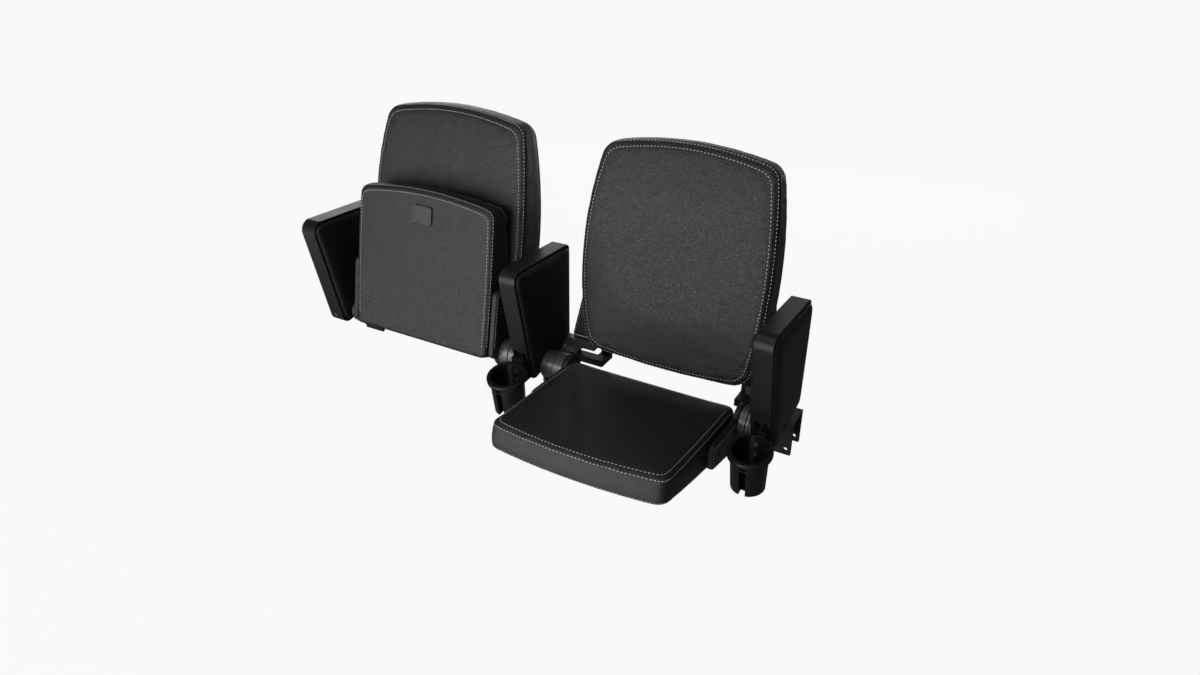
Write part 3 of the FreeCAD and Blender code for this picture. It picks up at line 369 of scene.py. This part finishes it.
skin.inputs["Roughness"].default_value = PLY_ROUGHNESS
tree.links.new(tint.outputs[MIX_RESULT], skin.inputs["Base Color"])
FINISHES["board"] = plywood

SLOT_OF = {part["node"]: part["material_slot"] for part in frame["record"]["subparts"]}
for name, node in nodes.items():
    node.data.materials.clear()
    node.data.materials.append(FINISHES[SLOT_OF[name]])
print("pieces with a finish:", len(SLOT_OF))

# %% [markdown]
# ## Tools for soft pieces
# A soft piece starts as a copy of its measured shape, merged into one skin. A voxel remesh gives it
# even faces that cloth can move; what the remesh leaves loose inside is thrown away. The skin is
# smoothed, swollen a little by a cloth simulation with pressure inside, and subdivided once. The
# swelling is held under a limit, because a raised seat passes close to its back.

# %% Tools for soft pieces
SMOOTH_SHARE = 0.5
SETTLE_ROUNDS = 4
FRAMES = 12
CLOTH_QUALITY = 3
CLOTH_PRESSURE = 3.0
CLOTH_STIFFNESS = 40.0
CLOTH_BENDING = 8.0
TINY = 1e-9
WELD = 1e-6


def only(*chosen):
    """Deselects everything, then selects these, the first one active."""
    bpy.ops.object.select_all(action="DESELECT")
    for obj in chosen:
        obj.select_set(True)
    bpy.context.view_layer.objects.active = chosen[0]


def apply_modifier(obj, kind, **settings):
    only(obj)
    modifier = obj.modifiers.new(kind.lower(), kind)
    for setting, value in settings.items():
        setattr(modifier, setting, value)
    bpy.ops.object.modifier_apply(modifier=modifier.name)


def measured_copy(name, *sources):
    """New object with the merged meshes of these measured pieces."""
    copies = []
    for source in sources:
        copy = bpy.data.objects.new(name, nodes[source].data.copy())
        bpy.context.scene.collection.objects.link(copy)
        copies.append(copy)
    only(*copies)
    bpy.ops.object.join()
    obj = bpy.context.object
    bpy.ops.object.mode_set(mode="EDIT")
    bpy.ops.mesh.select_all(action="SELECT")
    bpy.ops.mesh.remove_doubles(threshold=WELD)
    bpy.ops.object.mode_set(mode="OBJECT")
    return obj


def outer_skin(obj):
    """Keeps the largest loose part, the skin that shows."""
    name = obj.name
    only(obj)
    bpy.ops.object.mode_set(mode="EDIT")
    bpy.ops.mesh.select_all(action="SELECT")
    bpy.ops.mesh.separate(type="LOOSE")
    bpy.ops.object.mode_set(mode="OBJECT")
    loose = sorted(bpy.context.selected_objects, key=lambda part: len(part.data.vertices))
    for part in loose[:-1]:
        bpy.data.objects.remove(part)
    loose[-1].name = name
    return loose[-1]


def places(obj):
    flat = np.empty(len(obj.data.vertices) * 3)
    obj.data.vertices.foreach_get("co", flat)
    return flat.reshape(-1, 3)


def put_places(obj, points):
    obj.data.vertices.foreach_set("co", np.ascontiguousarray(points).ravel())
    obj.data.update()


def even_skin(obj, voxel, rounds):
    apply_modifier(obj, "REMESH", mode="VOXEL", voxel_size=voxel)
    apply_modifier(obj, "SMOOTH", factor=SMOOTH_SHARE, iterations=rounds)


def ease_face(obj, chosen, rounds):
    """Smooths the broad face only, so that the rolled edges stay crisp."""
    group = obj.vertex_groups.new(name="face")
    group.add([int(i) for i in np.flatnonzero(chosen(places(obj)))], 1.0, "REPLACE")
    apply_modifier(obj, "SMOOTH", factor=SMOOTH_SHARE, iterations=rounds, vertex_group="face")
    obj.vertex_groups.clear()


def swell(obj, limit, held):
    """Cloth with pressure inside. Held points stay, and no point moves further than the limit."""
    before = places(obj)
    group = obj.vertex_groups.new(name="held")
    group.add([int(i) for i in np.flatnonzero(held(before))], 1.0, "REPLACE")
    cloth = obj.modifiers.new("cloth", "CLOTH")
    cloth.settings.quality = CLOTH_QUALITY
    cloth.settings.use_pressure = True
    cloth.settings.uniform_pressure_force = CLOTH_PRESSURE
    cloth.settings.tension_stiffness = CLOTH_STIFFNESS
    cloth.settings.compression_stiffness = CLOTH_STIFFNESS
    cloth.settings.bending_stiffness = CLOTH_BENDING
    cloth.settings.effector_weights.gravity = 0.0
    cloth.settings.vertex_group_mass = "held"
    cloth.point_cache.frame_start = 1
    cloth.point_cache.frame_end = FRAMES
    for number in range(1, FRAMES + 1):
        bpy.context.scene.frame_set(number)
    only(obj)
    bpy.ops.object.modifier_apply(modifier=cloth.name)
    moves = places(obj) - before
    lengths = np.linalg.norm(moves, axis=1, keepdims=True)
    put_places(obj, before + moves * np.minimum(1.0, limit / np.maximum(lengths, TINY)))
    obj.vertex_groups.clear()
    bpy.context.scene.frame_set(1)
    apply_modifier(obj, "SMOOTH", factor=SMOOTH_SHARE, iterations=SETTLE_ROUNDS)


def finish_soft(obj, slot):
    obj.data.materials.clear()
    obj.data.materials.append(FINISHES[slot])
    only(obj)
    bpy.ops.object.shade_smooth()
    print(obj.name, "faces:", len(obj.data.polygons))


def moved_copy(obj, name, matrix):
    """Copy with its own mesh, whose place is in the mesh."""
    copy = bpy.data.objects.new(name, obj.data.copy())
    bpy.context.scene.collection.objects.link(copy)
    copy.data.transform(matrix)
    return copy


# %% [markdown]
# ## Outlines for seams and thread
# Seams and stitches follow the edges of the cushions, so the outlines are drawn again here: a bowed
# side, a bowed end and round corners, as points. Each point is then laid on the finished skin by
# looking for the nearest place on it.

# %% Outlines for seams and thread
CORNER_POINTS = 8
END_POINTS = 40
SIDE_POINTS = 60
SEAM_STEP = 0.001


def bend(start, corner, end):
    """Points of a round corner, without its first."""
    points = []
    for i in range(CORNER_POINTS):
        t = (i + 1) / CORNER_POINTS
        weights = ((1 - t) ** 2, 2 * t * (1 - t), t ** 2)
        points.append(tuple(np.dot(weights, axis) for axis in zip(start, corner, end)))
    return points


def cushion_outline(ends, halves, bows, radii, inset):
    """Closed outline (x, v) of a cushion, from the middle of its lower edge and round to the right."""
    low = ends[0] + inset
    high = ends[1] - inset
    low_half, middle_half, high_half = [half - inset for half in halves]

    def half(v):
        t = (v - low) / (high - low)
        at_ends = low_half * (1 - t) * (1 - 2 * t) + high_half * t * (2 * t - 1)
        return at_ends + middle_half * 4 * t * (1 - t)

    def lower(x):
        return low - bows[0] * (1 - (x / low_half) ** 2)

    def upper(x):
        return high + bows[1] * (1 - (x / high_half) ** 2)

    right = [(x, lower(x)) for x in np.linspace(0, low_half - radii[0], END_POINTS)]
    side = [(half(v), v) for v in np.linspace(low + radii[0], high - radii[1], SIDE_POINTS)]
    end = [(x, upper(x)) for x in np.linspace(high_half - radii[1], 0, END_POINTS)]
    right += bend(right[-1], (low_half, low), side[0])
    right += side[1:]
    right += bend(side[-1], (high_half, high), end[0])
    right += end[1:]
    return right + [(-x, v) for x, v in reversed(right[1:-1])]


def even_steps(points, step):
    """The same path with points at even steps along it."""
    points = np.array(points)
    along = np.concatenate([[0.0], np.cumsum(np.linalg.norm(np.diff(points, axis=0), axis=1))])
    count = max(2, int(round(along[-1] / step)))
    wanted = np.linspace(0, along[-1], count + 1)
    return np.stack([np.interp(wanted, along, points[:, i]) for i in range(3)], axis=1)


def press_seam(obj, path, width, depth):
    """Sinks the skin along a seam."""
    line = even_steps(path, SEAM_STEP)
    tree = KDTree(len(line))
    for number, point in enumerate(line):
        tree.insert(point, number)
    tree.balance()
    points = places(obj)
    normals = np.empty(points.size)
    obj.data.vertices.foreach_get("normal", normals)
    distances = np.minimum([tree.find(point)[2] for point in points], width)
    depths = depth * (0.5 + 0.5 * np.cos(np.pi * distances / width))
    put_places(obj, points - normals.reshape(-1, 3) * depths[:, None])
    print(obj.name, "seam points:", int((distances < width).sum()))


# %% [markdown]
# ## Stitch
# The thread is a thick beige top stitch. One stitch is a small sphere drawn out along the seam and
# flattened; it has few faces because it is copied many hundreds of times. A row of them lies on the
# skin, each turned along the row.

# %% Stitch
STITCH_LENGTH = 0.005
STITCH_STEP = 0.0082
STITCH_WIDTH = 0.0021
STITCH_HEIGHT = 0.0018
bpy.ops.object.select_all(action="DESELECT")
bpy.ops.mesh.primitive_uv_sphere_add(segments=6, ring_count=4, radius=0.5, rotation=(0.0, math.pi / 2, 0.0))
stitch = bpy.context.object
bpy.ops.object.transform_apply(location=True, rotation=True, scale=True)
bpy.ops.object.mode_set(mode="EDIT")
bpy.ops.mesh.select_all(action="SELECT")
bpy.ops.transform.resize(value=(STITCH_LENGTH, STITCH_WIDTH, STITCH_HEIGHT))
bpy.ops.object.mode_set(mode="OBJECT")
STITCH_POINTS = places(stitch)
STITCH_FACES = [list(face.vertices) for face in stitch.data.polygons]
bpy.data.objects.remove(stitch)
print("faces of one stitch:", len(STITCH_FACES))


def sew(name, skin, rows):
    """Rows of stitches laid on a skin, as one object."""
    surface = BVHTree.FromPolygons(
        [vertex.co for vertex in skin.data.vertices],
        [list(face.vertices) for face in skin.data.polygons])
    points = []
    faces = []
    for row in rows:
        line = even_steps(row, STITCH_STEP)
        for before, after in zip(line[:-1], line[1:]):
            spot, normal = surface.find_nearest(Vector((before + after) / 2))[:2]
            along = Vector(after - before)
            along = (along - normal * along.dot(normal)).normalized()
            across = normal.cross(along)
            turn = np.array([along, across, normal])
            start = len(points)
            points.extend(STITCH_POINTS @ turn + np.array(spot))
            faces.extend([[start + i for i in face] for face in STITCH_FACES])
    mesh = bpy.data.meshes.new(name)
    mesh.from_pydata(points, [], faces)
    obj = bpy.data.objects.new(name, mesh)
    bpy.context.scene.collection.objects.link(obj)
    finish_soft(obj, "thread")
    return obj


# %% [markdown]
# ## Seat cushion
# The seat is a wedge of foam in one skin of hide: crowned on top, flat underneath, with a seam round
# its top edge and another round its lower edge. The lowered right seat is made first. Top, base and
# the board between them are merged, so the remesh sees one solid. Only the upper half swells. The
# lengths are those of the measured seat.

# %% Seat cushion
CHAIR_X = 0.305
HINGE_Y = -0.103
HINGE_Z = 0.03
SEAT_LENGTH = 0.342
SEAT_REAR_BELOW = 0.07
SEAT_BOTTOM_RISE = 0.074
SEAT_REAR_ABOVE = 0.033
SEAT_TOP_RISE = 0.032
SEAT_HELD_SHARE = 0.55
SEAT_HALVES = (0.202, 0.2035, 0.1995)
SEAT_RADII = (0.014, 0.02)
SEAT_BOW = 0.018
SEAT_LEAN = 0.0095
SOFT_VOXEL = 0.005
SWELL_LIMIT = 0.0018
EDGE_SHARE = 0.0015
EASE_ROUNDS = 60


def seat_height(ahead, share):
    """Height over the hinge at a share of the way from the underside to the top."""
    bottom = SEAT_BOTTOM_RISE * ahead / SEAT_LENGTH - SEAT_REAR_BELOW
    top = SEAT_TOP_RISE * ahead / SEAT_LENGTH + SEAT_REAR_ABOVE
    return bottom * (1 - share) + top * share


def lower_half(points):
    """Which points lie in the lower half of the seat, a little more than half its height."""
    ahead = HINGE_Y - points[:, 1]
    return points[:, 2] - HINGE_Z < seat_height(ahead, SEAT_HELD_SHARE)


def top_face(points):
    """Which points lie on the crowned top."""
    ahead = HINGE_Y - points[:, 1]
    return points[:, 2] - HINGE_Z > seat_height(ahead, 1.0) - EDGE_SHARE


seat = measured_copy("seat_upholstery_right", "seat_cushion_right", "seat_base_right", "seat_pan_right")
even_skin(seat, SOFT_VOXEL, 2)
seat = outer_skin(seat)
ease_face(seat, top_face, EASE_ROUNDS)
swell(seat, SWELL_LIMIT, lower_half)
apply_modifier(seat, "SUBSURF", levels=1, render_levels=1)

# %% [markdown]
# ## Seat seams and thread
# A seam runs round the top edge and another round the lower edge, each with a row of thread on the
# face and one on the wall. They start a little ahead of the hinge, where the covers begin. On the
# underside the blank plate lies in a pressed frame.

# %% Seat seams and thread
SEAM_WIDTH = 0.0045
SEAM_DEPTH = 0.0012
SEAM_INSET = 0.0045
SEAM_OFF_EDGE = 0.0015
FACE_ROW_INSET = 0.0125
WALL_ROW_INSET = 0.0005
WALL_ROW_OFF_EDGE = 0.006
SEAM_START = 0.03
PLATE_HALF = 0.0275
PLATE_REACH = 0.021
PLATE_SEAM_WIDTH = 0.004
PLATE_SEAM_DEPTH = 0.002


def seat_path(share, inset, lift):
    """Path round the sides and front of the seat, at a share of its height."""
    outline = cushion_outline((0.0, SEAT_LENGTH), SEAT_HALVES, (0.0, SEAT_BOW), SEAT_RADII, inset)
    path = []
    for x, ahead in outline:
        if ahead > SEAM_START:
            forward = ahead * (1 + SEAT_LEAN / SEAT_LENGTH * (1 - share))
            path.append((CHAIR_X + x, HINGE_Y - forward, HINGE_Z + seat_height(ahead, share) + lift))
    return path


def plate_path():
    """Path on the underside round the blank plate."""
    low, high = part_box("number_plate_right")
    middle = (low + high) / 2
    path = []
    for x_side, y_side in ((-1, -1), (1, -1), (1, 1), (-1, 1), (-1, -1)):
        x = middle[0] + x_side * PLATE_HALF
        y = middle[1] + y_side * PLATE_REACH
        path.append((x, y, HINGE_Z + seat_height(HINGE_Y - y, 0.0)))
    return path


press_seam(seat, seat_path(1.0, SEAM_INSET, -SEAM_OFF_EDGE), SEAM_WIDTH, SEAM_DEPTH)
press_seam(seat, seat_path(0.0, SEAM_INSET, SEAM_OFF_EDGE), SEAM_WIDTH, SEAM_DEPTH)
press_seam(seat, plate_path(), PLATE_SEAM_WIDTH, PLATE_SEAM_DEPTH)
seat_rows = [
    seat_path(1.0, WALL_ROW_INSET, -WALL_ROW_OFF_EDGE),
    seat_path(1.0, FACE_ROW_INSET, 0.0),
    seat_path(0.0, WALL_ROW_INSET, WALL_ROW_OFF_EDGE),
    seat_path(0.0, FACE_ROW_INSET, 0.0),
]
finish_soft(seat, "upholstery")
seat_stitches = sew("seat_stitches_right", seat, seat_rows)

# %% [markdown]
# ## Hinge covers
# On each side of a seat a D-shaped patch of hide covers the hinge plate and flares round the hub. Its
# thread runs forward from the hub, turns round the front corner and comes back along the lower edge.
# The turns of the row are given ahead of the hinge and above it.

# %% Hinge covers
COVER_X = 0.2185
COVER_VOXEL = 0.003
COVER_ROW_START = (0.041, 0.015)
COVER_ROW_TOP = ((0.146, 0.0235), (0.16, 0.0245), (0.16, 0.011))
COVER_ROW_LOW = ((0.16, -0.012), (0.16, -0.0225), (0.15, -0.0245))
COVER_ROW_END = (0.03, -0.05)


def cover_row(side):
    turns = [COVER_ROW_START]
    for corner in (COVER_ROW_TOP, COVER_ROW_LOW):
        turns += [corner[0], *bend(*corner)]
    turns.append(COVER_ROW_END)
    return [(CHAIR_X + side * COVER_X, HINGE_Y - ahead, HINGE_Z + up) for ahead, up in turns]


covers = {}
cover_stitches = {}
for place_name, side in (("inner", -1), ("outer", 1)):
    cover = measured_copy(f"hinge_upholstery_{place_name}_right", f"hinge_cover_{place_name}_right")
    even_skin(cover, COVER_VOXEL, 2)
    apply_modifier(cover, "SUBSURF", levels=1, render_levels=1)
    finish_soft(cover, "upholstery")
    covers[place_name] = cover
    cover_stitches[place_name] = sew(f"hinge_stitches_{place_name}_right", cover, [cover_row(side)])

# %% [markdown]
# ## Raised seat
# The left seat is the same seat tipped up against its back: the finished pieces are copied one chair
# along the row and turned a quarter turn about the hinge. What faces the middle arm on the right
# chair faces the end arm on the left one.

# %% Raised seat
PITCH = 0.61
hinge = Vector((0.0, HINGE_Y, HINGE_Z))
tip_up = Matrix.Translation(hinge) @ Matrix.Rotation(-math.pi / 2, 4, "X") @ Matrix.Translation(-hinge)
to_left_seat = Matrix.Translation((-PITCH, 0.0, 0.0)) @ tip_up
OTHER_SIDE = {"inner": "outer", "outer": "inner"}
seat_pieces = [
    (seat, ("seat_cushion", "seat_base"), "seat_upholstery", "seat_upholstery"),
    (seat_stitches, (), "seat_stitches", "seat_stitches"),
]
for place_name, other in OTHER_SIDE.items():
    cover_names = (f"hinge_upholstery_{place_name}", f"hinge_upholstery_{other}")
    seat_pieces.append((covers[place_name], (f"hinge_cover_{place_name}",), *cover_names))
    thread_names = (f"hinge_stitches_{place_name}", f"hinge_stitches_{other}")
    seat_pieces.append((cover_stitches[place_name], (), *thread_names))

for piece, covered, name, left_name in seat_pieces:
    left_piece = moved_copy(piece, f"{left_name}_left", to_left_seat)
    for chair, obj in (("right", piece), ("left", left_piece)):
        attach(obj, f"{chair}_seat")
        if covered:
            swap = OTHER_SIDE if chair == "left" else {}
            stems = [stem.rsplit("_", 1) for stem in covered]
            names = [f"{head}_{swap.get(tail, tail)}_{chair}" for head, tail in stems]
            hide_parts(*names)
print("seat pieces:", 2 * len(seat_pieces))

# %% [markdown]
# ## Back cushion
# The back is a barrel-shaped cushion that stands forward in its middle, with a seam and two rows of
# thread round its front edge and a moulded shell behind. Board and cushion are merged before the
# remesh, so that the pocket doesn't show as a dent. Its rear half is held while it swells.

# %% Back cushion
BACK_PLACE = Vector((0.0, -0.028, 0.071))
RECLINE = math.radians(7.6)
BACK_UP = Vector((0.0, math.sin(RECLINE), math.cos(RECLINE)))
BACK_FORWARD = Vector((0.0, -math.cos(RECLINE), math.sin(RECLINE)))
BACK_HEIGHT = 0.476
BACK_HALVES = (0.2, 0.2245, 0.198)
BACK_BOWS = (0.01, 0.024)
BACK_RADII = (0.032, 0.024)
BACK_BOW = 0.0315
FULL_UP = 0.169
SCOOP_DEPTH = 0.006
SCOOP_HEIGHT = 0.06
HELD_BEHIND = -0.015
BACK_SEAM_INSET = 0.004
BACK_SEAM_BEHIND = 0.003
BACK_WALL_ROW_BEHIND = 0.0065


def back_point(x, up, forward):
    return Vector((x, 0.0, 0.0)) + BACK_PLACE + BACK_UP * up + BACK_FORWARD * forward


def back_bow(up):
    """How far the padding's edge stands forward of the back's plane at a height."""
    from_full = (up - FULL_UP) / (BACK_HEIGHT - FULL_UP)
    scoop = np.maximum(0.0, 1 - up / SCOOP_HEIGHT)
    return BACK_BOW * (1 - from_full ** 2) + SCOOP_DEPTH * scoop ** 2


def rear_half(points):
    """Which points lie behind the padding."""
    return (points - np.array(BACK_PLACE)) @ np.array(BACK_FORWARD) < HELD_BEHIND


def front_face(points):
    """Which points lie on the bowed front."""
    from_foot = points - np.array(BACK_PLACE)
    return from_foot @ np.array(BACK_FORWARD) > back_bow(from_foot @ np.array(BACK_UP)) - EDGE_SHARE


def back_path(inset, forward):
    """Closed path round the front, inset from its edge."""
    outline = cushion_outline((0.0, BACK_HEIGHT), BACK_HALVES, BACK_BOWS, BACK_RADII, inset)
    path = [tuple(back_point(CHAIR_X + x, up, forward + back_bow(up))) for x, up in outline]
    return path + path[:1]


back = measured_copy("back_upholstery_right", "back_cushion_right", "back_board_right")
even_skin(back, SOFT_VOXEL, 2)
back = outer_skin(back)
ease_face(back, front_face, EASE_ROUNDS)
swell(back, SWELL_LIMIT, rear_half)
apply_modifier(back, "SUBSURF", levels=1, render_levels=1)
press_seam(back, back_path(BACK_SEAM_INSET, -BACK_SEAM_BEHIND), SEAM_WIDTH, SEAM_DEPTH)
finish_soft(back, "upholstery")
back_rows = [back_path(WALL_ROW_INSET, -BACK_WALL_ROW_BEHIND), back_path(FACE_ROW_INSET, 0.0)]
back_stitches = sew("back_stitches_right", back, back_rows)

# %% [markdown]
# ## Backs in place
# Both backs are alike, so the left one is a copy of the right one, a module along the row. Backs don't
# move: they ride on the frame.

# %% Backs in place
to_left_chair = Matrix.Translation((-PITCH, 0.0, 0.0))
left_back = moved_copy(back, "back_upholstery_left", to_left_chair)
left_stitches = moved_copy(back_stitches, "back_stitches_left", to_left_chair)
for obj in (back, left_back, back_stitches, left_stitches):
    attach(obj, "frame")
for chair, obj in (("right", back), ("left", left_back)):
    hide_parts(f"back_cushion_{chair}")
print("backs: 2")

# %% [markdown]
# ## Wings
# At each lower corner of a back a stitched gusset of hide fills the gap towards the arm. The gaps
# differ, because the end arms stand a little inside the module, so each pair is made from its own
# measured shape.

# %% Wings
WING_FORWARD = -0.02
WING_LOW = -0.026
WING_TOP = 0.18
WING_ROW_OFF_EDGE = 0.006
WING_ROW_OFF_BACK = 0.004
WING_REACH = {"inner": 0.262, "outer": 0.237}
WING_VOXEL = 0.0035


def wing_row(centre, side, reach):
    edge = reach - WING_ROW_OFF_EDGE
    turns = [(edge, WING_LOW), (edge, 0.0), (BACK_HALVES[1] - WING_ROW_OFF_BACK, WING_TOP)]
    return [tuple(back_point(centre + side * x, up, WING_FORWARD)) for x, up in turns]


for chair, chair_side in (("left", -1), ("right", 1)):
    wings = measured_copy(f"wing_upholstery_{chair}", f"back_wings_{chair}")
    even_skin(wings, WING_VOXEL, 2)
    apply_modifier(wings, "SUBSURF", levels=1, render_levels=1)
    finish_soft(wings, "upholstery")
    centre = chair_side * CHAIR_X
    rows = [
        wing_row(centre, -chair_side, WING_REACH["inner"]),
        wing_row(centre, chair_side, WING_REACH["outer"]),
    ]
    wing_stitches = sew(f"wing_stitches_{chair}", wings, rows)
    for obj in (wings, wing_stitches):
        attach(obj, "frame")
    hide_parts(f"back_wings_{chair}")

# %% [markdown]
# ## Arm pads
# Each arm carries a padded panel on both sides, set off from its band by a thin dark line. The three
# arms are alike, so the middle pair is made once and copied to the ends.

# %% Arm pads
ARM_PITCH = 0.585
PAD_VOXEL = 0.004
PAD_HELD = 0.012
PAD_LIMIT = 0.0015


def near_plate(points):
    """Points close to the arm's steel plate, which don't swell."""
    return np.abs(points[:, 0]) < PAD_HELD


pads = measured_copy("arm_padding_middle", "arm_pads_middle")
even_skin(pads, PAD_VOXEL, 3)
swell(pads, PAD_LIMIT, near_plate)
apply_modifier(pads, "SUBSURF", levels=1, render_levels=1)
finish_soft(pads, "arm_padding")
for arm, step in (("left", -1), ("middle", 0), ("right", 1)):
    obj = pads
    if step:
        obj = moved_copy(pads, f"arm_padding_{arm}", Matrix.Translation((step * ARM_PITCH, 0.0, 0.0)))
    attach(obj, "frame")
    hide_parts(f"arm_pads_{arm}")
print("arms with pads: 3")
